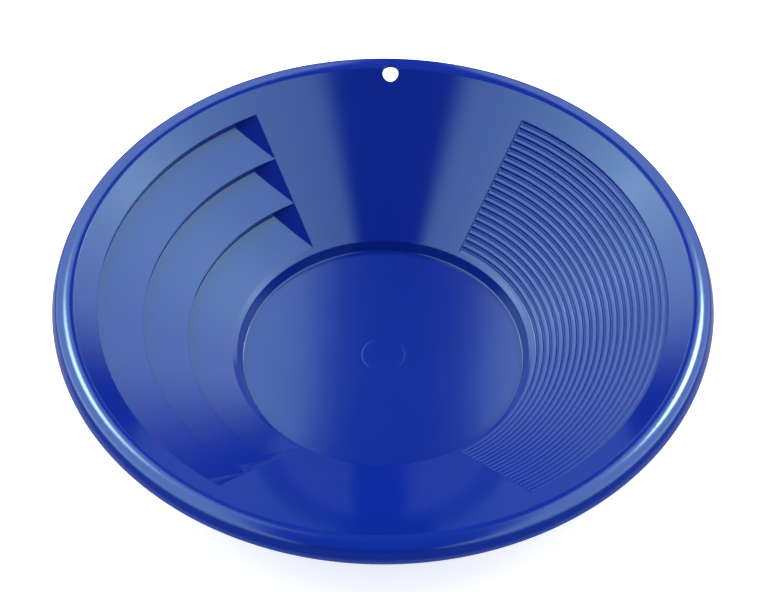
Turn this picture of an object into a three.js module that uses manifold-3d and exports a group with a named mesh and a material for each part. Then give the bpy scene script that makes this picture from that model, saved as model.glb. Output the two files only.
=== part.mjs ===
// Fourteen-inch gold pan: one injection-moulded plastic dish with two fields of riffles.
// Millimetres, +Z up. The origin is the centre of the base's underside. The hanging hole is
// towards +Y, the coarse riffles are on the -X side and the fine riffles on the +X side.
import * as THREE from 'three';
import { mergeVertices } from 'three/addons/utils/BufferGeometryUtils.js';
import Module from 'manifold-3d';

const wasm = await Module();
wasm.setup();

// Overall size
const outerRadius = 177.8; // 14 inches across the rim
const totalHeight = 67.5;
const wallThickness = 2;
const turnSegments = 80;
const arcStep = THREE.MathUtils.degToRad(16);

// Dropped floor, with a low step up to the wall
const floorHeight = 2.4;
const floorRadius = 78.9;
const wallFootRadius = 81.3;
const wallFootHeight = 8.55;
const stepRounding = 1.5;
const baseEdgeRounding = 1.8;
const gateMarkRadius = 12.25;
const gateMarkDepth = 0.3;

// Straight sloping wall
const wallAngle = THREE.MathUtils.degToRad(34.75);
const wallSlope = Math.tan(wallAngle);

// Rim: a shallow dome on top of the wall, a tight outer corner and a curved skirt
const domeRadius = 170.1;
const domeRounding = 28;
const domeInnerTilt = THREE.MathUtils.degToRad(8.4);
const domeOuterTilt = THREE.MathUtils.degToRad(8.2);
const shoulderRounding = 0.6;
const cornerRounding = 2.2;
const skirtTopTilt = THREE.MathUtils.degToRad(60);
const skirtRounding = 20;
const lipHeight = 59.1; // underside of the skirt
const lipRounding = 0.7;

// Hanging hole through the top of the wall
const holeRadius = 4.7;
const holeCentreY = 164;

// Coarse riffles: three steps cut into the wall, each with an undercut riser
const sectorHalfAngle = THREE.MathUtils.degToRad(59.7);
const coarseCount = 3;
const coarseOuterRadius = 154;
const coarsePitch = 23.25;
const coarseDepth = 4.9;
const coarseUndercut = 1.6;
const coarseEndSlope = THREE.MathUtils.degToRad(18.5);

// Fine riffles: twenty saw-tooth grooves
const fineCount = 20;
const fineOuterRadius = 153.4;
const finePitch = 3.51;
const fineDepth = 1.75;
const fineEndSlope = THREE.MathUtils.degToRad(36);
const fineBacking = 1.5; // extra wall under the grooves

// Allowances that keep the cutters clear of the faces they don't cut
const crestDrop = 0.12;
const wallOverlap = 0.01;
const cutterTop = 6;
const farAway = 400;

const point = (r, z) => new THREE.Vector2(r, z);

// Height of the wall's inner face at radius r
function wallHeight(r) {
  return wallFootHeight + (r - wallFootRadius) * wallSlope;
}

// Points on an arc. Tilt is the angle of the surface normal from straight up.
function arc(centre, radius, fromTilt, toTilt) {
  const count = Math.max(1, Math.ceil(Math.abs(toTilt - fromTilt) / arcStep));
  const points = [];
  for (let i = 0; i <= count; i += 1) {
    const tilt = fromTilt + (toTilt - fromTilt) * (i / count);
    points.push(point(centre.x + radius * Math.sin(tilt), centre.y + radius * Math.cos(tilt)));
  }
  return points;
}

// Centre of an arc of this radius that passes through p, where the surface has this tilt
function centreInside(p, radius, tilt) {
  return point(p.x - radius * Math.sin(tilt), p.y - radius * Math.cos(tilt));
}

// Where the wall's line, moved down by drop, meets the line of this slope through p
function meetingPoint(p, slope, drop) {
  const r = (p.y - slope * p.x - wallHeight(0) + drop) / (wallSlope - slope);
  return point(r, wallHeight(r) - drop);
}

// Points that round the corner b of the path a, b, c
function roundCorner(a, b, c, radius, count) {
  const toA = a.clone().sub(b).normalize();
  const toC = c.clone().sub(b).normalize();
  const half = Math.acos(toA.dot(toC)) / 2;
  const centre = toA.clone().add(toC).normalize().multiplyScalar(radius / Math.sin(half)).add(b);
  const start = toA.clone().multiplyScalar(radius / Math.tan(half)).add(b).sub(centre);
  const end = toC.clone().multiplyScalar(radius / Math.tan(half)).add(b).sub(centre);
  const sweep = start.angleTo(end) * Math.sign(start.cross(end));
  const origin = point(0, 0);
  const points = [];
  for (let i = 0; i <= count; i += 1) {
    points.push(start.clone().rotateAround(origin, (sweep * i) / count).add(centre));
  }
  return points;
}

// A closed, position-only geometry as a solid, with its faces pointing out
function toSolid(geometry) {
  geometry.deleteAttribute('normal');
  geometry.deleteAttribute('uv');
  const merged = mergeVertices(geometry, 1e-3);
  const position = merged.attributes.position.array;
  const index = merged.index.array;
  const corner = [new THREE.Vector3(), new THREE.Vector3(), new THREE.Vector3()];
  const triangles = [];
  let volume = 0;
  for (let t = 0; t < index.length; t += 3) {
    const [a, b, c] = [index[t], index[t + 1], index[t + 2]];
    if (a === b || b === c || c === a) continue;
    triangles.push(a, b, c);
    corner[0].fromArray(position, 3 * a);
    corner[1].fromArray(position, 3 * b);
    corner[2].fromArray(position, 3 * c);
    volume += corner[0].dot(corner[1].cross(corner[2]));
  }
  if (volume < 0) triangles.reverse();
  const mesh = new wasm.Mesh({
    numProp: 3,
    vertProperties: new Float32Array(position),
    triVerts: new Uint32Array(triangles),
  });
  return new wasm.Manifold(mesh);
}

// Turn a closed profile of (radius, height) points about +Z
function turned(profile) {
  const geometry = new THREE.LatheGeometry(profile, turnSegments);
  geometry.rotateX(Math.PI / 2);
  return toSolid(geometry);
}

// A ring cut down to one sector, with flat ends that slope in under the wall's face.
// drop moves the sloping ends down, square to the wall.
function sectorOf(ring, centreAngle, endSlope, drop) {
  const reach = sectorHalfAngle + drop / floorRadius;
  const wedge = new THREE.Shape();
  const startAngle = centreAngle - reach;
  wedge.moveTo(0, 0);
  wedge.lineTo(farAway * Math.cos(startAngle), farAway * Math.sin(startAngle));
  wedge.absarc(0, 0, farAway, startAngle, centreAngle + reach, false);
  wedge.closePath();
  const wedgeGeometry = new THREE.ExtrudeGeometry(wedge, {
    depth: farAway,
    bevelEnabled: false,
    curveSegments: 8,
  });
  wedgeGeometry.translate(0, 0, -farAway / 2);
  let sector = ring.intersect(toSolid(wedgeGeometry));
  for (const side of [-1, 1]) {
    sector = sector.subtract(slopedEnd(centreAngle + side * sectorHalfAngle, side, endSlope, drop));
  }
  return sector;
}

// The block below a sloping end face. The face holds the line up the wall at this angle.
function slopedEnd(angle, side, endSlope, drop) {
  const outward = new THREE.Vector3(Math.cos(angle), Math.sin(angle), 0);
  const up = new THREE.Vector3(0, 0, 1);
  const inward = new THREE.Vector3().crossVectors(up, outward).multiplyScalar(-side);
  const alongWall = outward.clone().multiplyScalar(Math.cos(wallAngle));
  alongWall.addScaledVector(up, Math.sin(wallAngle));
  const wallNormal = outward.clone().multiplyScalar(-Math.sin(wallAngle));
  wallNormal.addScaledVector(up, Math.cos(wallAngle));
  const faceNormal = wallNormal.clone().multiplyScalar(Math.cos(endSlope));
  faceNormal.addScaledVector(inward, Math.sin(endSlope));
  const acrossFace = new THREE.Vector3().crossVectors(faceNormal, alongWall);
  const blockDepth = farAway / 4;
  const centre = outward.clone().multiplyScalar(coarseOuterRadius);
  centre.z = wallHeight(coarseOuterRadius);
  centre.addScaledVector(wallNormal, -drop).addScaledVector(faceNormal, -blockDepth / 2);
  const block = new THREE.BoxGeometry(farAway, farAway, blockDepth);
  block.applyMatrix4(new THREE.Matrix4().makeBasis(alongWall, acrossFace, faceNormal));
  block.translate(centre.x, centre.y, centre.z);
  return toSolid(block);
}

// The plain dish: floor, step, wall and rim, without riffles or hole
function plainDish() {
  const markEdge = floorHeight - gateMarkDepth;
  const floorCorner = point(floorRadius, floorHeight);
  const wallFoot = point(wallFootRadius, wallFootHeight);

  const domeCentre = point(domeRadius, totalHeight - domeRounding);
  const dome = arc(domeCentre, domeRounding, -domeInnerTilt, domeOuterTilt);
  const shoulder = meetingPoint(dome[0], Math.tan(domeInnerTilt), 0);
  const cornerCentre = centreInside(dome[dome.length - 1], cornerRounding, domeOuterTilt);
  const corner = arc(cornerCentre, cornerRounding, domeOuterTilt, skirtTopTilt);
  const skirtCentre = centreInside(corner[corner.length - 1], skirtRounding, skirtTopTilt);
  const skirtEndTilt = Math.asin((outerRadius - skirtCentre.x) / skirtRounding);
  const innerRounding = skirtRounding - wallThickness;
  const innerSkirt = arc(skirtCentre, innerRounding, skirtEndTilt, skirtTopTilt);
  const lipOuter = point(outerRadius, lipHeight);
  const lipInner = point(innerSkirt[0].x, lipHeight);

  const thicknessDown = wallThickness / Math.cos(wallAngle);
  const stepLine = wallFoot.clone().sub(floorCorner).normalize();
  const stepFaceX = floorRadius + wallThickness / stepLine.y;
  const stepRun = stepLine.x / stepLine.y;
  const baseCorner = point(stepFaceX - floorHeight * stepRun, 0);
  const underWallZero = wallHeight(0) - thicknessDown;
  const underFootX = (underWallZero * stepRun + baseCorner.x) / (1 - wallSlope * stepRun);
  const underFoot = point(underFootX, underWallZero + underFootX * wallSlope);
  const underEndTilt = 0.6 * domeInnerTilt;
  const underDome = arc(domeCentre, domeRounding - wallThickness, domeOuterTilt, -underEndTilt);
  const underDomeEnd = underDome[underDome.length - 1];
  const armpit = meetingPoint(underDomeEnd, Math.tan(underEndTilt), thicknessDown);

  return turned([
    point(0, markEdge),
    point(gateMarkRadius - gateMarkDepth, markEdge),
    point(gateMarkRadius, floorHeight),
    ...roundCorner(point(0, floorHeight), floorCorner, wallFoot, stepRounding, 3),
    ...roundCorner(floorCorner, wallFoot, shoulder, stepRounding, 3),
    ...roundCorner(wallFoot, shoulder, dome[0], shoulderRounding, 2),
    ...dome,
    ...corner.slice(1),
    ...arc(skirtCentre, skirtRounding, skirtTopTilt, skirtEndTilt).slice(1),
    ...roundCorner(point(outerRadius, totalHeight), lipOuter, lipInner, lipRounding, 2),
    ...roundCorner(lipOuter, lipInner, innerSkirt[0], lipRounding, 2),
    ...innerSkirt,
    ...underDome,
    armpit,
    underFoot,
    ...roundCorner(underFoot, baseCorner, point(0, 0), baseEdgeRounding, 3),
    point(0, 0),
  ]);
}

// Saw-tooth profile: from each crest a riser drops to a foot that lies undercut further out,
// then a tread falls to the next crest. Returned from the outermost crest inwards.
function sawTooth(outer, pitch, count, depth, undercut) {
  const points = [];
  for (let i = 0; i < count; i += 1) {
    const r = outer - i * pitch;
    const top = wallHeight(r) - (i > 0 ? crestDrop : 0);
    points.push(point(r, top), point(r + undercut, wallHeight(r) - depth));
  }
  const last = outer - count * pitch;
  points.push(point(last, wallHeight(last)));
  return points;
}

// Closed ring profile between a path of points and a line a set height above the wall
function closeAbove(path, above) {
  const first = path[0];
  const last = path[path.length - 1];
  const top = (r) => point(r, wallHeight(r) + above);
  return [...path, top(last.x), top(first.x), first.clone()];
}

// Three steps, with the wall behind them stepped to match
function cutCoarseRiffles(dish) {
  const centreAngle = Math.PI;
  const outer = coarseOuterRadius;
  const steps = sawTooth(outer, coarsePitch, coarseCount, coarseDepth, coarseUndercut);
  const cutter = turned(closeAbove(steps, cutterTop));
  const thicknessDown = wallThickness / Math.cos(wallAngle);
  const stepWidth = coarsePitch + coarseUndercut;
  const treadSlope = (wallSlope * coarsePitch - coarseDepth) / stepWidth;
  const back = [];
  for (let i = 0; i < coarseCount; i += 1) {
    const riser = coarseOuterRadius - i * coarsePitch;
    const under = wallHeight(riser) - coarseDepth - thicknessDown;
    const crestBack = riser + wallThickness;
    const overlap = i > 0 ? wallOverlap : 0;
    back.push(point(crestBack, wallHeight(crestBack) - thicknessDown + overlap));
    back.push(point(crestBack + coarseUndercut, under + wallThickness * treadSlope));
  }
  const last = coarseOuterRadius - coarseCount * coarsePitch;
  back.push(point(last, wallHeight(last) - thicknessDown));
  const backing = turned(closeAbove(back, -thicknessDown / 2));
  const stiffened = dish.add(sectorOf(backing, centreAngle, coarseEndSlope, wallThickness));
  return stiffened.subtract(sectorOf(cutter, centreAngle, coarseEndSlope, 0));
}

// Twenty saw-tooth grooves, with a smooth thicker wall behind them
function cutFineRiffles(dish) {
  const centreAngle = 0;
  const teeth = sawTooth(fineOuterRadius, finePitch, fineCount, fineDepth, 0);
  const cutter = turned(closeAbove(teeth, cutterTop));
  const thicknessDown = wallThickness / Math.cos(wallAngle);
  const backDown = (wallThickness + fineBacking) / Math.cos(wallAngle);
  const outer = fineOuterRadius + 2 * wallThickness;
  const inner = fineOuterRadius - fineCount * finePitch;
  const back = [
    point(outer, wallHeight(outer) - thicknessDown),
    point(outer - fineBacking, wallHeight(outer - fineBacking) - backDown),
    point(inner + fineBacking, wallHeight(inner + fineBacking) - backDown),
    point(inner, wallHeight(inner) - thicknessDown),
  ];
  const backing = turned(closeAbove(back, -thicknessDown / 2));
  const drop = wallThickness + fineBacking;
  const stiffened = dish.add(sectorOf(backing, centreAngle, fineEndSlope, drop));
  return stiffened.subtract(sectorOf(cutter, centreAngle, fineEndSlope, 0));
}

// Hanging hole, straight down through the top of the wall
function drillHole(dish) {
  const drill = new THREE.CylinderGeometry(holeRadius, holeRadius, farAway, 32);
  drill.rotateX(Math.PI / 2);
  drill.translate(0, holeCentreY, 0);
  return dish.subtract(toSolid(drill));
}

const solid = drillHole(cutFineRiffles(cutCoarseRiffles(plainDish())));
const result = solid.getMesh();
const panGeometry = new THREE.BufferGeometry();
panGeometry.setAttribute('position', new THREE.BufferAttribute(result.vertProperties, 3));
panGeometry.setIndex(new THREE.BufferAttribute(result.triVerts, 1));
panGeometry.computeVertexNormals();

const bluePlastic = new THREE.MeshStandardMaterial({
  color: new THREE.Color().setRGB(0.055, 0.165, 0.62, THREE.SRGBColorSpace),
  roughness: 0.28,
  metalness: 0,
});

const pan = new THREE.Mesh(panGeometry, bluePlastic);
pan.name = 'pan';

const group = new THREE.Group();
group.add(pan);

export default group;
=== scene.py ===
"""Final looks of the fourteen-inch plastic gold pan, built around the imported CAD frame.

The pan is one moulding. Its surface is a grid of rows (a profile from the floor's centre, over
the rim and back under to the base) and columns (azimuths about +Z). Two sets of wall rows, one
for the fine riffles on +X and one for the coarse riffles on -X, slide into each other across the
plain wall between them. Everything is in metres.
"""
import math

import bpy
import numpy as np
from mathutils import Euler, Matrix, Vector


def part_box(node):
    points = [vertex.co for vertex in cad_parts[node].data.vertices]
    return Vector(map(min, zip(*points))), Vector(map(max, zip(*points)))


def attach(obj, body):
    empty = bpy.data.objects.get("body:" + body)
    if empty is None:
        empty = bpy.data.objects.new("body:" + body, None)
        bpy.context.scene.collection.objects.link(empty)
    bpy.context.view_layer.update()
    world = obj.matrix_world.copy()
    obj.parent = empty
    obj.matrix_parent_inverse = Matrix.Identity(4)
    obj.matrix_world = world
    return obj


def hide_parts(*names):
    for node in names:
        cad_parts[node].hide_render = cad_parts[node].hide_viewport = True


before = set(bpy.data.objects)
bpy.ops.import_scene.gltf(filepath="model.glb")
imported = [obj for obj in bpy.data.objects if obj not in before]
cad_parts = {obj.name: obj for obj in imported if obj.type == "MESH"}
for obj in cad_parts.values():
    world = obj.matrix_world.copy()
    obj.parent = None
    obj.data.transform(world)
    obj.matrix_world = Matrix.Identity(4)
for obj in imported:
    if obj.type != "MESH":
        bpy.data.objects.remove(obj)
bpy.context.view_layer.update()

MM = 0.001
PAN_LOW, PAN_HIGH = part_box("pan")
OUTER_RADIUS = (PAN_HIGH.x - PAN_LOW.x) / 2
TOTAL_HEIGHT = PAN_HIGH.z - PAN_LOW.z
THICKNESS = 2.0 * MM
POLE_RADIUS = 2.0 * MM

# Dropped floor and its step
FLOOR_HEIGHT = 2.4 * MM
FLOOR_RADIUS = 78.9 * MM
WALL_FOOT_RADIUS = 81.3 * MM
WALL_FOOT_HEIGHT = 8.55 * MM
FLOOR_FILLET = 1.0 * MM
STEP_FILLET = 1.3 * MM
BASE_FILLET = 1.8 * MM
GATE_MARK_RADIUS = 12.25 * MM
GATE_MARK_DEPTH = 0.016 * MM
GATE_MARK_WIDTH = 1.5 * MM
FLOOR_FLAT_MARGIN = 4 * MM

# Sloping wall
WALL_ANGLE = math.radians(34.75)
WALL_SLOPE = math.tan(WALL_ANGLE)
THICKNESS_DOWN = THICKNESS / math.cos(WALL_ANGLE)
UNDER_FILLET = 1.0 * MM

# Rim: a shallow dome on top of the wall, a tight outer corner and a curved skirt
DOME_RADIUS = 170.1 * MM
DOME_ROUNDING = 28.0 * MM
DOME_INNER_TILT = math.radians(8.4)
DOME_OUTER_TILT = math.radians(8.2)
SHOULDER_FILLET = 0.6 * MM
CORNER_ROUNDING = 2.2 * MM
SKIRT_TOP_TILT = math.radians(60)
SKIRT_ROUNDING = 20.0 * MM
LIP_HEIGHT = 59.1 * MM
LIP_FILLET = 0.7 * MM
# Inner tilt of the dome's underside, as a share of the dome's own
UNDER_DOME_SHARE = 0.6

# Hanging hole
HOLE_RADIUS = 4.7 * MM
HOLE_CENTRE_Y = 164.0 * MM
HOLE_SIDES = 96

# Riffles: both fields reach this far each side of the X axis
SECTOR_HALF_ANGLE = math.radians(59.7)
COARSE_COUNT = 3
COARSE_OUTER = 154.0 * MM
COARSE_PITCH = 23.25 * MM
COARSE_DEPTH = 4.9 * MM
COARSE_UNDERCUT = 1.6 * MM
COARSE_END_SLOPE = math.radians(18.5)
COARSE_CREST_FILLET = 0.3 * MM
COARSE_ROOT_FILLET = 0.5 * MM
FINE_COUNT = 20
FINE_OUTER = 153.4 * MM
FINE_PITCH = 3.51 * MM
FINE_DEPTH = 1.75 * MM
FINE_END_SLOPE = math.radians(36)
FINE_DRAFT = 0.45 * MM
FINE_CREST_FILLET = 0.4 * MM
FINE_ROOT_FILLET = 0.45 * MM
FINE_BULGE = 0.28 * MM
BULGE_PLACE = 0.45
BULGE_FILLET = 2.5 * MM
FINE_BACKING = 1.5 * MM
CREASE_ROUNDING = 0.18 * MM
# How much a coarse tread drops with the wall where its riser is shortened
TREAD_FOLLOW = 0.6

# Mesh density
ARC_STEP = math.radians(6)
DOME_STEP = ARC_STEP / 3
LARGE_FILLET_POINTS = 8
SMALL_FILLET_POINTS = 6
TINY_FILLET_POINTS = 5
GATE_MARK_ROWS = 9
FLOOR_ROWS = 12
BASE_ROWS = 14
WALL_ROWS = 340
UNDER_ROWS = 90
PLAIN_COLUMN_STEP = math.radians(0.75)
COARSE_END_COLUMN_STEP = math.radians(0.16)
FINE_END_COLUMN_STEP = math.radians(0.12)
COARSE_END_WIDTH = math.radians(11)
FINE_END_WIDTH = math.radians(2.2)
SLIDE_MARGIN = math.radians(2.5)
SHARP_ANGLE = math.radians(50)
# Spacing of the riser rows where they cross the plain wall, as a share of the other rows'
RISER_SPACING = 0.06
# Straight run that aims a fillet
FILLET_GUIDE = 10 * MM
# Gaps between the stretches of the profile
FLOOR_TO_WALL = 0.3 * MM
WALL_TO_RIM = 0.5 * MM
BASE_TO_BACK = 0.5 * MM
BACK_TO_RIM = 1.0 * MM

# Studio light, as radiance by direction. A lamp is its azimuth and elevation in degrees, level,
# fade angle, and its core's place, level and width.
LAMP_RIGHT = (18, 38, 4.0, 33, (74, 50.5), 28.0, 4.2)
LAMP_LEFT = (162, 40, 4.4, 33, (107, 51), 15.0, 4.2)
LIGHT_COLOUR = (0.97, 0.985, 1.0, 1)
ROOM_LEVEL = 0.03
# The lamps' cores show in a first reflection only: the world's ray depth is 2 there.
CORE_DEPTH = 2.5
# The dark gap, in the X and Y of a unit direction. Its centre leans with Y, and it opens as Y
# falls below the start, from its narrowest. The edge is the soft share of its half width.
GAP_SHIFT = -0.0225
GAP_LEAN = 0.0235
GAP_START = 0.62
GAP_NARROWEST = 0.0205
GAP_OPENING = 0.45
GAP_WIDTH = 0.247
GAP_EDGE = 0.25
# The dark horizon, in the Z of a unit direction, lower away from the gap.
HORIZON_LOW = 0.26
HORIZON_HIGH = 0.64
HORIZON_LIFT = 0.4

# Plastic
BLUE_DEEP = (0.0028, 0.0158, 0.217, 1)
BLUE_PALE = (0.0034, 0.0180, 0.240, 1)
GLOSS_ROUGHNESS = (0.07, 0.11)
SATIN_ROUGHNESS = 0.03
PLASTIC_IOR = 1.5
SPECULAR_LEVEL = 0.75
SPECULAR_TINT = (0.59, 1.0, 1.0, 1)
PEEL_HEIGHT = 0.02 * MM
PEEL_STRENGTH = 0.25
SAG_HEIGHT = 0.4 * MM
SAG_STRENGTH = 0.06

# Table: paper with a glow of its own. Its reflections carry painted shade: where the plastic
# reflects it, it is dimmed near the pan, for the pan's shadow on the table, and dark further out,
# for a dark horizon
TABLE_HALF_WIDTH = 4.0
PAPER_WHITE = (0.93, 0.935, 0.94, 1)
PAPER_SHADE = (0.90, 0.905, 0.915, 1)
# Painted shade that the plastic's reflections see in place of the paper
PAPER_REFLECTED_SHADE = (0.02, 0.02, 0.02, 1)
PAPER_GLOW = 0.6
PAPER_LIT_RADIUS = 0.27
PAPER_DARK_RADIUS = 1.3 * PAPER_LIT_RADIUS
PAPER_DIMMING = 0.75

# Camera, in front of the pan and above it
LENS = 94.04
CAMERA_DISTANCE = 713.3 * MM
CAMERA_HEIGHT = 873.2 * MM
CAMERA_AZIMUTH = math.radians(-88.5)
AIM_HEIGHT = 68.0 * MM
CAMERA_PITCH = math.radians(-0.54)
CAMERA_ROLL = math.radians(0.05)


# ---------------------------------------------------------------- profiles

def wall_height(r):
    """Height of the wall's inner face at radius r."""
    return WALL_FOOT_HEIGHT + (r - WALL_FOOT_RADIUS) * WALL_SLOPE


def arc(centre, radius, from_tilt, to_tilt, step=ARC_STEP):
    """Points on an arc. Tilt is the angle of the surface normal from straight up."""
    count = max(2, math.ceil(abs(to_tilt - from_tilt) / step) + 1)
    tilts = np.linspace(from_tilt, to_tilt, count)
    return [(centre[0] + radius * math.sin(t), centre[1] + radius * math.cos(t)) for t in tilts]


def fillet(a, b, c, radius, count):
    """Points of the arc that rounds the corner b of the path a, b, c."""
    a, b, c = (np.array(p, float) for p in (a, b, c))
    to_a = (a - b) / np.linalg.norm(a - b)
    to_c = (c - b) / np.linalg.norm(c - b)
    half = math.acos(float(np.clip(to_a @ to_c, -1, 1))) / 2
    bisector = (to_a + to_c) / np.linalg.norm(to_a + to_c)
    centre = b + bisector * radius / math.sin(half)
    start = b + to_a * radius / math.tan(half) - centre
    end = b + to_c * radius / math.tan(half) - centre
    first = math.atan2(start[1], start[0])
    turn = math.atan2(start[0] * end[1] - start[1] * end[0], float(start @ end))
    angles = first + np.linspace(0, turn, count)
    return [(centre[0] + radius * math.cos(t), centre[1] + radius * math.sin(t)) for t in angles]


def rounded(corners, arc_points):
    """The path through (r, z, fillet radius) corners, with its corners rounded."""
    points = [corners[0][:2]]
    for before, corner, after in zip(corners, corners[1:], corners[2:]):
        if corner[2] > 0:
            points += fillet(before[:2], corner[:2], after[:2], corner[2], arc_points)
        else:
            points.append(corner[:2])
    points.append(corners[-1][:2])
    return points


def filled(points, count):
    """The same path with extra points along its longest spans, so that it has count points."""
    points = np.array(points, float)
    lengths = np.linalg.norm(np.diff(points, axis=0), axis=1)
    pieces = np.ones(len(lengths), int)
    for _ in range(count - len(points)):
        pieces[np.argmax(lengths / pieces)] += 1
    path = [points[:1]]
    for start, end, n in zip(points, points[1:], pieces):
        path.append(start + (end - start) * (np.arange(1, n + 1) / n)[:, None])
    return np.vstack(path)


def saw_tooth(outer, pitch, count, depth, undercut, root_fillet, crest_fillet,
              shift=0.0, drop=0.0, bulge=0.0):
    """Corners of a riffle field, from its inner end out. Each tread falls below the wall line
    until a riser brings it back up. The riser's foot lies undercut further out than its crest.
    shift moves the risers out, drop moves the path down and bulge rounds the treads upwards."""
    inner = outer - count * pitch
    corners = [(inner, wall_height(inner) - drop, 0.0)]
    tread_slope = (WALL_SLOPE * pitch - depth) / (pitch + undercut)
    for i in reversed(range(count)):
        crest = outer - i * pitch + shift
        start = crest - shift - pitch
        root = crest + undercut
        if bulge > 0:
            middle = start + BULGE_PLACE * pitch
            height = wall_height(start) + tread_slope * (middle - start) + bulge
            corners.append((middle, height - drop, BULGE_FILLET))
        corners.append((root, wall_height(start) + tread_slope * (root - start) - drop, root_fillet))
        corners.append((crest, wall_height(crest) - drop, crest_fillet))
    return corners


def wall_paths(start, end, drop, coarse, fine, count):
    """(fine, coarse) wall paths between two radii, each with count points."""
    first = (start, wall_height(start) - drop, 0.0)
    last = (end, wall_height(end) - drop, 0.0)
    return tuple(filled(rounded([first, *corners, last], TINY_FILLET_POINTS), count)
                 for corners in (fine, coarse))


# ---------------------------------------------------------------- the grid

def smoothstep(x):
    """0 below 0, 1 above 1, smooth between."""
    x = np.clip(x, 0, 1)
    return x * x * (3 - 2 * x)


def smooth_max(a, b, rounding):
    """The larger of two heights, blended where they are closer than the rounding."""
    return np.maximum(a, b) + np.maximum(rounding - np.abs(a - b), 0) ** 2 / (4 * rounding)


def column_angles():
    """Azimuths of the columns: even, with close ones where a riffle field ends."""
    angles = set(np.round(np.arange(0, 2 * math.pi, PLAIN_COLUMN_STEP), 9))
    ends = [(0.0, FINE_END_WIDTH, FINE_END_COLUMN_STEP),
            (math.pi, COARSE_END_WIDTH, COARSE_END_COLUMN_STEP)]
    for middle, width, step in ends:
        for side in (-1, 1):
            end = middle + side * SECTOR_HALF_ANGLE
            offsets = np.arange(-2, math.ceil(width / step)) * step
            close = np.mod(end - side * offsets, 2 * math.pi)
            low, high = sorted((end + side * 2 * step, end - side * width))
            angles = {a for a in angles if not in_span(a, low, high)}
            angles |= set(np.round(close, 9))
    return np.array(sorted(angles))


def in_span(angle, low, high):
    """True if the azimuth lies between low and high, a full turn taken off where needed."""
    middle = (low + high) / 2
    off = (angle - middle + math.pi) % (2 * math.pi) - math.pi
    return abs(off) < (high - low) / 2 + 1e-4


def end_plane(r, from_middle, half_angle, end_slope, drop):
    """Height of the flat face that closes a riffle field at each end."""
    inside = half_angle - from_middle
    along = r * np.cos(inside)
    across = r * np.sin(inside)
    return wall_height(along) - across * math.tan(end_slope) / math.cos(WALL_ANGLE) - drop


def riser_rows(path):
    """For an undercut path: (spans that lead back in, rows at a crest, each row's next crest)."""
    falling = np.diff(path[:, 0]) < 0
    rising = np.append(~falling, True)
    crests = [k for k in range(1, len(path)) if falling[k - 1] and rising[k]]
    following = np.searchsorted(crests, np.arange(len(path)))
    has_crest = following < len(crests)
    crest_row = np.array(crests)[np.minimum(following, len(crests) - 1)]
    return falling, crests, crest_row, has_crest


def plain_radii(path):
    """Radii for the rows of an undercut path where the wall is plain: always rising, with each
    crest row kept in place and the rows of each riser close together."""
    falling, crests, _, _ = riser_rows(path)
    lengths = np.linalg.norm(np.diff(path, axis=0), axis=1) * np.where(falling, RISER_SPACING, 1.0)
    travelled = np.append(0, np.cumsum(lengths))
    anchors = [0, *crests, len(path) - 1]
    return np.interp(travelled, travelled[anchors], path[anchors, 0])


def undercut_field(path, from_middle, drop):
    """(radius, height) over the coarse riffles. Towards each end the risers get shorter, so that
    their feet stay on the sloping end face."""
    falling, _, crest_row, has_crest = riser_rows(path)
    on_riser = np.append(False, falling)[:, None]
    crest = path[crest_row, 0][:, None]
    inside = np.maximum(SECTOR_HALF_ANGLE - from_middle, 0)
    fall = math.tan(COARSE_END_SLOPE) / math.cos(WALL_ANGLE)
    slope = WALL_SLOPE * np.cos(inside) - fall * np.sin(inside)
    share = np.clip(crest * (WALL_SLOPE - slope) / (COARSE_DEPTH + COARSE_UNDERCUT * slope), 0, 1)
    beyond = np.where(has_crest[:, None], np.maximum(path[:, :1] - crest, 0), 0)
    r = path[:, :1] - beyond * (1 - share)
    plane = end_plane(r, from_middle, SECTOR_HALF_ANGLE, COARSE_END_SLOPE, drop)
    followed = path[:, 1:] + (r - path[:, :1]) * WALL_SLOPE * TREAD_FOLLOW
    tread = smooth_max(followed, plane, CREASE_ROUNDING)
    top = wall_height(crest) - drop
    riser = top - (top - path[:, 1:]) * share
    z = np.where(on_riser, riser, tread)
    return r, np.minimum(z, wall_height(r) - drop)


def wall_grid(paths, angles, drop, fine_half_angle):
    """Radius and height of every wall vertex, rows by columns."""
    fine, coarse = paths
    from_fine = np.abs((angles + math.pi) % (2 * math.pi) - math.pi)[None, :]
    from_coarse = math.pi - from_fine
    slide_start = fine_half_angle + SLIDE_MARGIN
    slide_end = math.pi - SECTOR_HALF_ANGLE - SLIDE_MARGIN
    mix = smoothstep((from_fine - slide_start) / (slide_end - slide_start))
    r = fine[:, :1] * (1 - mix) + plain_radii(coarse)[:, None] * mix
    base = wall_height(r) - drop
    plane = end_plane(r, from_fine, fine_half_angle, FINE_END_SLOPE, drop)
    grooves = np.minimum(base, smooth_max(fine[:, 1:] + 0 * r, plane, CREASE_ROUNDING))
    z = np.where(from_fine < fine_half_angle, grooves, base)
    coarse_r, coarse_z = undercut_field(coarse, from_coarse, drop)
    in_coarse = from_coarse < SECTOR_HALF_ANGLE - 1e-6
    return np.where(in_coarse, coarse_r, r), np.where(in_coarse, coarse_z, z)


def ring_grid(points, angles):
    """Radius and height of a plain turned stretch, rows by columns."""
    points = np.array(points, float)
    ones = np.ones((1, len(angles)))
    return points[:, :1] * ones, points[:, 1:] * ones


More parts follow.
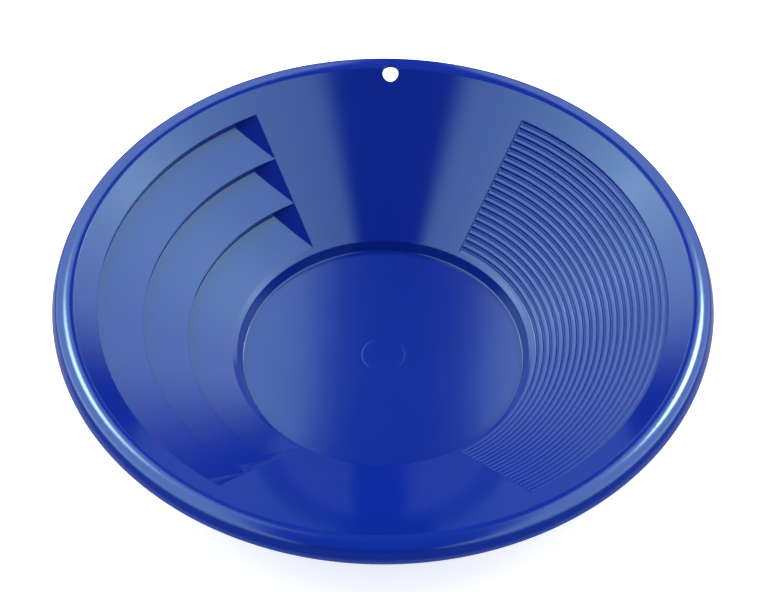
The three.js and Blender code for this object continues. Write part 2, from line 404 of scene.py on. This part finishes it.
def floor_path():
    """From just off the centre to the foot of the wall, with the faint gate mark."""
    mark = [(POLE_RADIUS, FLOOR_HEIGHT), (GATE_MARK_RADIUS - 2 * GATE_MARK_WIDTH, FLOOR_HEIGHT)]
    for t in np.linspace(0, 1, GATE_MARK_ROWS):
        dip = GATE_MARK_DEPTH * (0.5 - 0.5 * math.cos(2 * math.pi * t))
        mark.append((GATE_MARK_RADIUS + (t - 0.5) * GATE_MARK_WIDTH, FLOOR_HEIGHT - dip))
    outside_mark = GATE_MARK_RADIUS + GATE_MARK_WIDTH
    flat_end = FLOOR_RADIUS - FLOOR_FLAT_MARGIN
    plain = [(r, FLOOR_HEIGHT) for r in np.linspace(outside_mark, flat_end, FLOOR_ROWS)]
    floor_corner = (FLOOR_RADIUS, FLOOR_HEIGHT)
    foot = (WALL_FOOT_RADIUS, WALL_FOOT_HEIGHT)
    above = (WALL_FOOT_RADIUS + FILLET_GUIDE, wall_height(WALL_FOOT_RADIUS + FILLET_GUIDE))
    return (mark + plain
            + fillet((0, FLOOR_HEIGHT), floor_corner, foot, FLOOR_FILLET, LARGE_FILLET_POINTS)
            + fillet(floor_corner, foot, above, STEP_FILLET, LARGE_FILLET_POINTS))


def tangent_arc(point, radius, from_tilt, to_tilt):
    """Points of an arc that starts at point and runs on in the same direction."""
    centre = (point[0] - radius * math.sin(from_tilt), point[1] - radius * math.cos(from_tilt))
    return arc(centre, radius, from_tilt, to_tilt)


def meeting_point(point, slope, drop):
    """Where the wall's line, moved down by drop, meets the line of this slope through point."""
    r = (point[1] - slope * point[0] - wall_height(0) + drop) / (WALL_SLOPE - slope)
    return r, wall_height(r) - drop


def rim_paths():
    """(top, under) stretches of the rim: out over the dome to the lip, then back underneath."""
    dome_centre = (DOME_RADIUS, TOTAL_HEIGHT - DOME_ROUNDING)
    dome = arc(dome_centre, DOME_ROUNDING, -DOME_INNER_TILT, DOME_OUTER_TILT, DOME_STEP)
    corner = tangent_arc(dome[-1], CORNER_ROUNDING, DOME_OUTER_TILT, SKIRT_TOP_TILT)
    skirt_run = OUTER_RADIUS - corner[-1][0] + SKIRT_ROUNDING * math.sin(SKIRT_TOP_TILT)
    skirt_end_tilt = math.asin(skirt_run / SKIRT_ROUNDING)
    skirt = tangent_arc(corner[-1], SKIRT_ROUNDING, SKIRT_TOP_TILT, skirt_end_tilt)
    shoulder = meeting_point(dome[0], math.tan(DOME_INNER_TILT), 0.0)
    below = (shoulder[0] - FILLET_GUIDE, wall_height(shoulder[0] - FILLET_GUIDE))
    top = (fillet(below, shoulder, dome[0], SHOULDER_FILLET, SMALL_FILLET_POINTS)
           + dome + corner[1:] + skirt[1:])

    inset = (corner[-1][0] - THICKNESS * math.sin(SKIRT_TOP_TILT),
             corner[-1][1] - THICKNESS * math.cos(SKIRT_TOP_TILT))
    inner_skirt = tangent_arc(inset, SKIRT_ROUNDING - THICKNESS, SKIRT_TOP_TILT, skirt_end_tilt)
    inner_skirt = inner_skirt[::-1]
    lip_outer = (OUTER_RADIUS, LIP_HEIGHT)
    lip_inner = (inner_skirt[0][0], LIP_HEIGHT)
    under_tilt = UNDER_DOME_SHARE * DOME_INNER_TILT
    under_dome = arc(dome_centre, DOME_ROUNDING - THICKNESS, DOME_OUTER_TILT, -under_tilt)
    armpit = meeting_point(under_dome[-1], math.tan(under_tilt), THICKNESS_DOWN)
    further = (armpit[0] - FILLET_GUIDE, armpit[1] - FILLET_GUIDE * WALL_SLOPE)
    under = (fillet((OUTER_RADIUS, TOTAL_HEIGHT), lip_outer, lip_inner, LIP_FILLET,
                    SMALL_FILLET_POINTS)
             + fillet(lip_outer, lip_inner, inner_skirt[0], LIP_FILLET, SMALL_FILLET_POINTS)
             + inner_skirt
             + under_dome
             + fillet(under_dome[-1], armpit, further, UNDER_FILLET, TINY_FILLET_POINTS))
    return top, under


def base_path():
    """From the foot of the wall's underside down to just off the centre of the base."""
    run = (WALL_FOOT_RADIUS - FLOOR_RADIUS) / (WALL_FOOT_HEIGHT - FLOOR_HEIGHT)
    face = FLOOR_RADIUS + THICKNESS * math.hypot(1, run)
    corner = (face - FLOOR_HEIGHT * run, 0.0)
    under_zero = wall_height(0) - THICKNESS_DOWN
    foot_r = (under_zero * run + corner[0]) / (1 - WALL_SLOPE * run)
    foot = (foot_r, under_zero + foot_r * WALL_SLOPE)
    above = (foot_r + FILLET_GUIDE, foot[1] + FILLET_GUIDE * WALL_SLOPE)
    flat_start = FLOOR_RADIUS - FLOOR_FLAT_MARGIN
    plain = [(r, 0.0) for r in np.linspace(flat_start, POLE_RADIUS, BASE_ROWS)]
    return (fillet(above, foot, corner, UNDER_FILLET, SMALL_FILLET_POINTS)
            + fillet(foot, corner, (0, 0), BASE_FILLET, LARGE_FILLET_POINTS)
            + plain)


def pan_rows(angles):
    """Stack every stretch of the pan's surface: (radius, height), rows by columns."""
    floor = floor_path()
    rim_top, rim_under = rim_paths()
    base = base_path()
    coarse = saw_tooth(COARSE_OUTER, COARSE_PITCH, COARSE_COUNT, COARSE_DEPTH, COARSE_UNDERCUT,
                       COARSE_ROOT_FILLET, COARSE_CREST_FILLET)
    fine = saw_tooth(FINE_OUTER + FINE_DRAFT, FINE_PITCH, FINE_COUNT, FINE_DEPTH, -FINE_DRAFT,
                     FINE_ROOT_FILLET, FINE_CREST_FILLET, bulge=FINE_BULGE)
    wall_start = floor[-1][0] + FLOOR_TO_WALL
    wall_end = rim_top[0][0] - WALL_TO_RIM
    wall = wall_paths(wall_start, wall_end, 0.0, coarse, fine, WALL_ROWS)
    coarse_back = saw_tooth(COARSE_OUTER, COARSE_PITCH, COARSE_COUNT, COARSE_DEPTH, COARSE_UNDERCUT,
                            COARSE_CREST_FILLET, COARSE_ROOT_FILLET, THICKNESS, THICKNESS_DOWN)
    back_start = base[0][0] + BASE_TO_BACK
    back_end = rim_under[-1][0] - BACK_TO_RIM
    back = wall_paths(back_start, back_end, THICKNESS_DOWN, coarse_back, fine_pad(), UNDER_ROWS)
    pad_half_angle = SECTOR_HALF_ANGLE + FINE_BACKING / math.tan(FINE_END_SLOPE) / FINE_OUTER
    back_r, back_z = wall_grid(back, angles, THICKNESS_DOWN, pad_half_angle)
    parts = [ring_grid(floor, angles),
             wall_grid(wall, angles, 0.0, SECTOR_HALF_ANGLE),
             ring_grid(rim_top, angles),
             ring_grid(rim_under, angles),
             (back_r[::-1], back_z[::-1]),
             ring_grid(base, angles)]
    r = np.vstack([part[0] for part in parts])
    z = np.vstack([part[1] for part in parts])
    return r, z


def fine_pad():
    """Corners of the smooth thicker wall behind the fine riffles."""
    outer = FINE_OUTER + 2 * THICKNESS
    inner = FINE_OUTER - FINE_COUNT * FINE_PITCH
    deep = THICKNESS_DOWN + FINE_BACKING / math.cos(WALL_ANGLE)
    return [(inner, wall_height(inner) - THICKNESS_DOWN, UNDER_FILLET),
            (inner + FINE_BACKING, wall_height(inner + FINE_BACKING) - deep, UNDER_FILLET),
            (outer - FINE_BACKING, wall_height(outer - FINE_BACKING) - deep, UNDER_FILLET),
            (outer, wall_height(outer) - THICKNESS_DOWN, UNDER_FILLET)]


def satin_mask(r, angles):
    """1 over the fine riffles' inner face, 0 elsewhere, for the finish."""
    from_fine = np.abs((angles + math.pi) % (2 * math.pi) - math.pi)[None, :]
    inside = (from_fine < SECTOR_HALF_ANGLE) & (r > FINE_OUTER - FINE_COUNT * FINE_PITCH)
    return (inside & (r < FINE_OUTER)).astype(np.float32)


def grid_mesh(name, r, z, angles):
    """A closed mesh from the rows and columns, with one vertex at each pole."""
    rows, columns = r.shape
    x = r * np.cos(angles)[None, :]
    y = r * np.sin(angles)[None, :]
    vertices = np.stack([x, y, z], axis=2).reshape(-1, 3)
    top, bottom = len(vertices), len(vertices) + 1
    vertices = np.vstack([vertices, [[0, 0, z[0, 0]], [0, 0, z[-1, 0]]]])
    index = np.arange(rows * columns).reshape(rows, columns)
    right = np.roll(index, -1, axis=1)
    quads = np.stack([index[:-1], index[1:], right[1:], right[:-1]], axis=2).reshape(-1, 4)
    top_fan = np.stack([np.full(columns, top), index[0], right[0]], axis=1)
    bottom_fan = np.stack([np.full(columns, bottom), right[-1], index[-1]], axis=1)
    faces = quads.tolist() + top_fan.tolist() + bottom_fan.tolist()
    mesh = bpy.data.meshes.new(name)
    mesh.from_pydata(vertices.tolist(), [], faces)
    mesh.update()
    return mesh


def drill_hole(piece):
    """Cut the hanging hole straight down through the top of the wall."""
    turns = np.linspace(0, 2 * math.pi, HOLE_SIDES, endpoint=False)
    ring = np.stack([HOLE_RADIUS * np.cos(turns), HOLE_CENTRE_Y + HOLE_RADIUS * np.sin(turns)], 1)
    low = np.hstack([ring, np.full((HOLE_SIDES, 1), -TOTAL_HEIGHT)])
    high = np.hstack([ring, np.full((HOLE_SIDES, 1), 2 * TOTAL_HEIGHT)])
    around = [(i, (i + 1) % HOLE_SIDES) for i in range(HOLE_SIDES)]
    sides = [(a, b, b + HOLE_SIDES, a + HOLE_SIDES) for a, b in around]
    caps = [tuple(reversed(range(HOLE_SIDES))), tuple(range(HOLE_SIDES, 2 * HOLE_SIDES))]
    mesh = bpy.data.meshes.new("drill")
    mesh.from_pydata(np.vstack([low, high]).tolist(), [], sides + caps)
    drill = bpy.data.objects.new("drill", mesh)
    bpy.context.scene.collection.objects.link(drill)
    cut = piece.modifiers.new("hanging_hole", "BOOLEAN")
    cut.operation = "DIFFERENCE"
    cut.solver = "MANIFOLD"
    cut.object = drill
    bpy.context.view_layer.update()
    graph = bpy.context.evaluated_depsgraph_get()
    cut_mesh = bpy.data.meshes.new_from_object(piece.evaluated_get(graph))
    piece.modifiers.clear()
    old = piece.data
    piece.data = cut_mesh
    bpy.data.meshes.remove(old)
    bpy.data.objects.remove(drill)


def make_pan(material):
    """The visual pan, standing for the CAD node of the same name."""
    angles = column_angles()
    r, z = pan_rows(angles)
    mesh = grid_mesh("pan_moulding", r, z, angles)
    satin = mesh.attributes.new("satin", "FLOAT", "POINT")
    mask = satin_mask(r, angles)
    wall_only = np.zeros_like(mask)
    wall_only[:len(floor_path()) + WALL_ROWS] = 1
    satin.data.foreach_set("value", np.append((mask * wall_only).ravel(), [0, 0]).astype(np.float32))
    piece = bpy.data.objects.new("pan_moulding", mesh)
    bpy.context.scene.collection.objects.link(piece)
    drill_hole(piece)
    piece.data.shade_smooth()
    piece.data.set_sharp_from_angle(angle=SHARP_ANGLE)
    weighted = piece.modifiers.new("even_shading", "WEIGHTED_NORMAL")
    weighted.keep_sharp = True
    piece.data.materials.clear()
    piece.data.materials.append(material)
    return piece


# ---------------------------------------------------------------- materials

def new_material(name):
    material = bpy.data.materials.new(name)
    material.use_nodes = True
    nodes = material.node_tree.nodes
    return material, nodes, material.node_tree.links, nodes["Principled BSDF"]


def noise(nodes, links, vector, scale, detail, roughness=0.5):
    texture = nodes.new("ShaderNodeTexNoise")
    texture.inputs["Scale"].default_value = scale
    texture.inputs["Detail"].default_value = detail
    texture.inputs["Roughness"].default_value = roughness
    links.new(vector, texture.inputs["Vector"])
    return texture.outputs["Fac"]


def math_node(nodes, links, operation, *values):
    node = nodes.new("ShaderNodeMath")
    node.operation = operation
    for socket, value in zip(node.inputs, values):
        if isinstance(value, (int, float)):
            socket.default_value = value
        else:
            links.new(value, socket)
    return node.outputs["Value"]


def remap(nodes, links, value, low, high):
    node = nodes.new("ShaderNodeMapRange")
    node.inputs["To Min"].default_value = low
    node.inputs["To Max"].default_value = high
    links.new(value, node.inputs["Value"])
    return node.outputs["Result"]


def smooth_range(nodes, links, value, low, high):
    """0 below low, 1 above high, smooth between."""
    node = nodes.new("ShaderNodeMapRange")
    node.interpolation_type = "SMOOTHSTEP"
    node.inputs["From Min"].default_value = low
    node.inputs["From Max"].default_value = high
    links.new(value, node.inputs["Value"])
    return node.outputs["Result"]


def bump(nodes, links, height, strength, distance):
    node = nodes.new("ShaderNodeBump")
    node.inputs["Strength"].default_value = strength
    node.inputs["Distance"].default_value = distance
    links.new(height, node.inputs["Height"])
    return node


def blue_plastic():
    """Glossy moulded polypropylene, a little rougher over the fine riffles."""
    material, nodes, links, shader = new_material("blue_plastic")
    place = nodes.new("ShaderNodeTexCoord").outputs["Object"]
    satin = nodes.new("ShaderNodeAttribute")
    satin.attribute_name = "satin"
    satin = satin.outputs["Fac"]

    cloud = noise(nodes, links, place, 14.0, 3.0)
    colour = nodes.new("ShaderNodeMix")
    colour.data_type = "RGBA"
    colour.inputs[6].default_value = BLUE_DEEP
    colour.inputs[7].default_value = BLUE_PALE
    links.new(cloud, colour.inputs["Factor"])
    links.new(colour.outputs[2], shader.inputs["Base Color"])

    smudge = noise(nodes, links, place, 38.0, 5.0, 0.6)
    gloss = remap(nodes, links, smudge, *GLOSS_ROUGHNESS)
    satin_extra = math_node(nodes, links, "MULTIPLY", satin, SATIN_ROUGHNESS)
    rough = math_node(nodes, links, "ADD", gloss, satin_extra)
    links.new(rough, shader.inputs["Roughness"])
    shader.inputs["IOR"].default_value = PLASTIC_IOR
    shader.inputs["Specular IOR Level"].default_value = SPECULAR_LEVEL
    shader.inputs["Specular Tint"].default_value = SPECULAR_TINT

    peel = noise(nodes, links, place, 420.0, 2.0)
    sag = noise(nodes, links, place, 30.0, 1.0)
    bump_peel = bump(nodes, links, peel, PEEL_STRENGTH, PEEL_HEIGHT)
    bump_sag = bump(nodes, links, sag, SAG_STRENGTH, SAG_HEIGHT)
    links.new(bump_peel.outputs["Normal"], bump_sag.inputs["Normal"])
    links.new(bump_sag.outputs["Normal"], shader.inputs["Normal"])
    return material


def table_paper():
    """Matt white studio paper with a glow of its own. Its reflections carry painted shade: dim near
    the pan, for the pan's shadow on the table, and dark further out, for a dark horizon."""
    material, nodes, links, shader = new_material("table_paper")
    place = nodes.new("ShaderNodeTexCoord").outputs["Object"]
    grain = noise(nodes, links, place, 900.0, 3.0)
    tone = nodes.new("ShaderNodeMix")
    tone.data_type = "RGBA"
    tone.inputs[6].default_value = PAPER_SHADE
    tone.inputs[7].default_value = PAPER_WHITE
    links.new(grain, tone.inputs["Factor"])
    distance = nodes.new("ShaderNodeVectorMath")
    distance.operation = "LENGTH"
    links.new(place, distance.inputs[0])
    far = smooth_range(nodes, links, distance.outputs["Value"], PAPER_LIT_RADIUS, PAPER_DARK_RADIUS)
    # Painted shade: rays reflected off the plastic see the paper mixed towards dark, part way near
    # the pan and fully further out
    reflected = nodes.new("ShaderNodeLightPath").outputs["Is Glossy Ray"]
    depth = math_node(nodes, links, "MULTIPLY_ADD", far, 1 - PAPER_DIMMING, PAPER_DIMMING)
    dim = math_node(nodes, links, "MULTIPLY", depth, reflected)
    shade = nodes.new("ShaderNodeMix")
    shade.data_type = "RGBA"
    shade.inputs[7].default_value = PAPER_REFLECTED_SHADE
    links.new(dim, shade.inputs["Factor"])
    links.new(tone.outputs[2], shade.inputs[6])
    links.new(shade.outputs[2], shader.inputs["Base Color"])
    links.new(shade.outputs[2], shader.inputs["Emission Color"])
    shader.inputs["Roughness"].default_value = 0.75
    shader.inputs["Emission Strength"].default_value = PAPER_GLOW
    return material


# ---------------------------------------------------------------- studio

def direction_from(azimuth, elevation):
    """Unit vector. Azimuth is in degrees from +X towards +Y."""
    a, e = math.radians(azimuth), math.radians(elevation)
    return (math.cos(a) * math.cos(e), math.sin(a) * math.cos(e), math.sin(e))


def angle_to(nodes, links, direction, azimuth, elevation):
    """Angle in radians between the direction looked in and a fixed one."""
    dot = nodes.new("ShaderNodeVectorMath")
    dot.operation = "DOT_PRODUCT"
    dot.inputs[1].default_value = direction_from(azimuth, elevation)
    links.new(direction, dot.inputs[0])
    clamped = math_node(nodes, links, "MINIMUM", dot.outputs["Value"], 0.999999)
    return math_node(nodes, links, "ARCCOSINE", clamped)


def lamp(nodes, links, direction, azimuth, elevation, level, fade,
         core_place, core_level, core_width):
    """A diffused lamp: brightest at one direction, falling off exponentially, with a small core
    that shows in first reflections only."""
    angle = angle_to(nodes, links, direction, azimuth, elevation)
    scaled = math_node(nodes, links, "DIVIDE", angle, -math.radians(fade))
    glow = math_node(nodes, links, "MULTIPLY", math_node(nodes, links, "EXPONENT", scaled), level)
    core_angle = angle_to(nodes, links, direction, *core_place)
    outer, inner = math.radians(core_width), math.radians(core_width / 3)
    core = smooth_range(nodes, links, core_angle, outer, inner)
    depth = nodes.new("ShaderNodeLightPath").outputs["Ray Depth"]
    shows = math_node(nodes, links, "LESS_THAN", depth, CORE_DEPTH)
    shown_core = math_node(nodes, links, "MULTIPLY", core, shows)
    return math_node(nodes, links, "MULTIPLY_ADD", shown_core, core_level, glow)


def make_world():
    """Studio light: two diffused lamps behind the pan, left and right, with a dark gap between
    them that widens overhead and towards the camera, and a dark horizon."""
    world = bpy.data.worlds.new("studio")
    bpy.context.scene.world = world
    world.use_nodes = True
    nodes, links = world.node_tree.nodes, world.node_tree.links
    direction = nodes.new("ShaderNodeTexCoord").outputs["Generated"]
    right = lamp(nodes, links, direction, *LAMP_RIGHT)
    left = lamp(nodes, links, direction, *LAMP_LEFT)
    both = math_node(nodes, links, "ADD", right, left)
    parts = nodes.new("ShaderNodeSeparateXYZ")
    links.new(direction, parts.inputs["Vector"])
    centre = math_node(nodes, links, "MULTIPLY_ADD", parts.outputs["Y"], GAP_LEAN, GAP_SHIFT)
    off_centre = math_node(nodes, links, "SUBTRACT", parts.outputs["X"], centre)
    across = math_node(nodes, links, "ABSOLUTE", off_centre)
    past_start = math_node(nodes, links, "SUBTRACT", GAP_START, parts.outputs["Y"])
    forward = math_node(nodes, links, "MAXIMUM", past_start, GAP_NARROWEST)
    opening = math_node(nodes, links, "POWER", forward, GAP_OPENING)
    half_gap = math_node(nodes, links, "MULTIPLY", opening, GAP_WIDTH)
    in_gaps = math_node(nodes, links, "DIVIDE", across, half_gap)
    open_sky = smooth_range(nodes, links, in_gaps, 1 - GAP_EDGE, 1 + GAP_EDGE)
    height = math_node(nodes, links, "MULTIPLY_ADD", across, HORIZON_LIFT, parts.outputs["Z"])
    above = smooth_range(nodes, links, height, HORIZON_LOW, HORIZON_HIGH)
    beside_gap = math_node(nodes, links, "MULTIPLY", both, open_sky)
    lit = math_node(nodes, links, "MULTIPLY", beside_gap, above)
    total = math_node(nodes, links, "ADD", lit, ROOM_LEVEL)
    background = nodes["Background"]
    background.inputs["Color"].default_value = LIGHT_COLOUR
    links.new(total, background.inputs["Strength"])
    world.cycles.sampling_method = "MANUAL"
    world.cycles.sample_map_resolution = 1024


def make_floor():
    """The white table that the pan stands on."""
    half = TABLE_HALF_WIDTH
    mesh = bpy.data.meshes.new("table")
    z = PAN_LOW.z
    mesh.from_pydata([(-half, -half, z), (half, -half, z), (half, half, z), (-half, half, z)], [],
                     [(0, 1, 2, 3)])
    mesh.materials.append(table_paper())
    table = bpy.data.objects.new("table", mesh)
    bpy.context.scene.collection.objects.link(table)


def make_camera():
    """Look at the pan's middle, with a small trim in pitch and roll."""
    data = bpy.data.cameras.new("camera")
    data.sensor_fit = "HORIZONTAL"
    data.sensor_width = 36.0
    data.lens = LENS
    camera = bpy.data.objects.new("camera", data)
    bpy.context.scene.collection.objects.link(camera)
    ground = Vector((math.cos(CAMERA_AZIMUTH), math.sin(CAMERA_AZIMUTH), 0)) * CAMERA_DISTANCE
    camera.location = ground + Vector((0, 0, CAMERA_HEIGHT))
    aim = Vector((0, 0, AIM_HEIGHT)) - camera.location
    turn = aim.to_track_quat("-Z", "Y")
    trim = Euler((CAMERA_PITCH, 0, CAMERA_ROLL)).to_quaternion()
    camera.rotation_mode = "QUATERNION"
    camera.rotation_quaternion = turn @ trim
    bpy.context.scene.camera = camera


pan = make_pan(blue_plastic())
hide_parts("pan")
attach(pan, "root")
make_floor()
make_world()
bpy.context.scene.view_settings.view_transform = "Standard"
make_camera()
